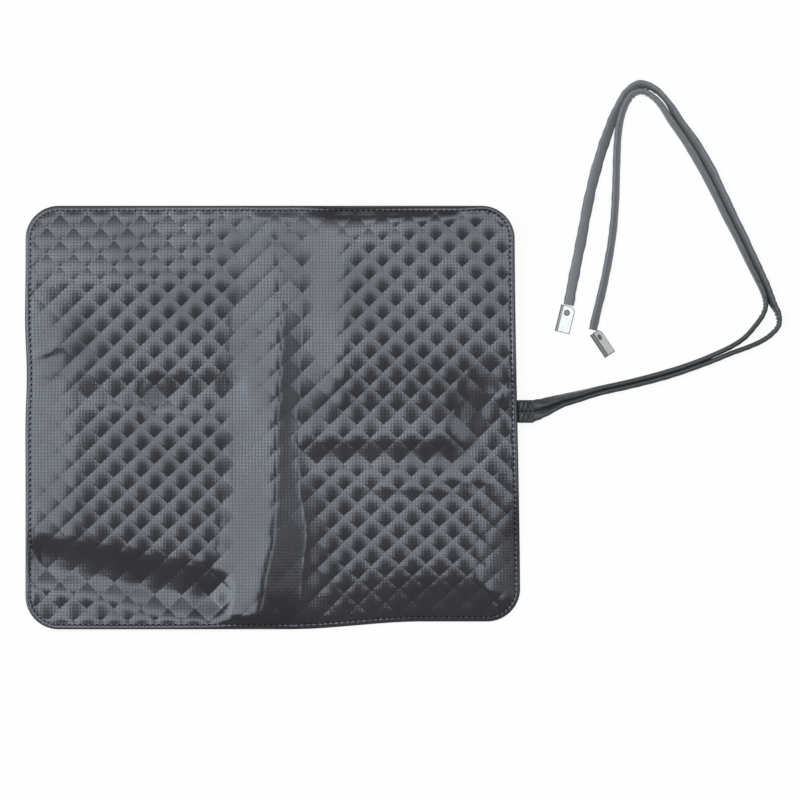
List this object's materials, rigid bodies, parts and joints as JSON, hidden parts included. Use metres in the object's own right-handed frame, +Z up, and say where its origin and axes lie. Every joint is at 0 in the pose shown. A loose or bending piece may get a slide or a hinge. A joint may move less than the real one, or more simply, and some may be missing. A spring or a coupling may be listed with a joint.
{
  "type": "makeup brush bag",
  "caption": "Fold-open padded bag for makeup brushes, with a diamond-embossed cover, inner brush pockets, cover flaps and tie straps with metal end tags.",
  "frame": {"origin": "on the surface that the opened bag lies on, under the middle of the opened bag without its straps", "axes": "+X towards the edge that carries the tie straps, +Y towards the edge that carries the cover flaps, +Z up, towards the outside of the bag"},
  "size_m": [0.4315, 0.3123, 0.0103],
  "materials": {
    "cover_leather": "embossed, satin",
    "lining_cloth": "plain weave, matt",
    "foam": "soft padding, matt",
    "pocket_leather": "smooth, satin",
    "strap_leather": "smooth, satin",
    "tag_metal": "polished"
  },
  "bodies": {
    "right_leaf": {"outer_cover_right": "cover_leather", "foam_padding_right": "foam", "lining_right": "lining_cloth", "brush_pocket_right_1": "pocket_leather", "brush_pocket_right_2": "pocket_leather", "brush_pocket_right_3": "pocket_leather", "brush_pocket_right_4": "pocket_leather", "brush_pocket_right_5": "pocket_leather", "flap_seam_strip_right": "lining_cloth", "strap_root_inner": "strap_leather", "strap_root_outer": "strap_leather", "tie_strap_inner": "strap_leather", "tie_strap_outer": "strap_leather", "strap_tag_inner": "tag_metal", "strap_tag_outer": "tag_metal", "tag_rivet_inner": "tag_metal", "tag_rivet_outer": "tag_metal"},
    "left_leaf": {"outer_cover_left": "cover_leather", "foam_padding_left": "foam", "lining_left": "lining_cloth", "brush_pocket_left_1": "pocket_leather", "brush_pocket_left_2": "pocket_leather", "brush_pocket_left_3": "pocket_leather", "brush_pocket_left_4": "pocket_leather", "brush_pocket_left_5": "pocket_leather", "flap_seam_strip_left": "lining_cloth"},
    "right_flap": {"brush_flap_right": "lining_cloth"},
    "left_flap": {"brush_flap_left": "lining_cloth"}
  },
  "joints": [
    {"name": "centre_fold", "type": "hinge", "parent": "right_leaf", "child": "left_leaf", "pos_m": [0, 0, 0], "axis": [0, -1, 0], "range_deg": [0, 175]},
    {"name": "right_flap_fold", "type": "hinge", "parent": "right_leaf", "child": "right_flap", "pos_m": [0, 0.1182, 0.0004], "axis": [1, 0, 0], "range_deg": [0, 180]},
    {"name": "left_flap_fold", "type": "hinge", "parent": "left_leaf", "child": "left_flap", "pos_m": [0, 0.1182, 0.0004], "axis": [1, 0, 0], "range_deg": [0, 180]}
  ]
}
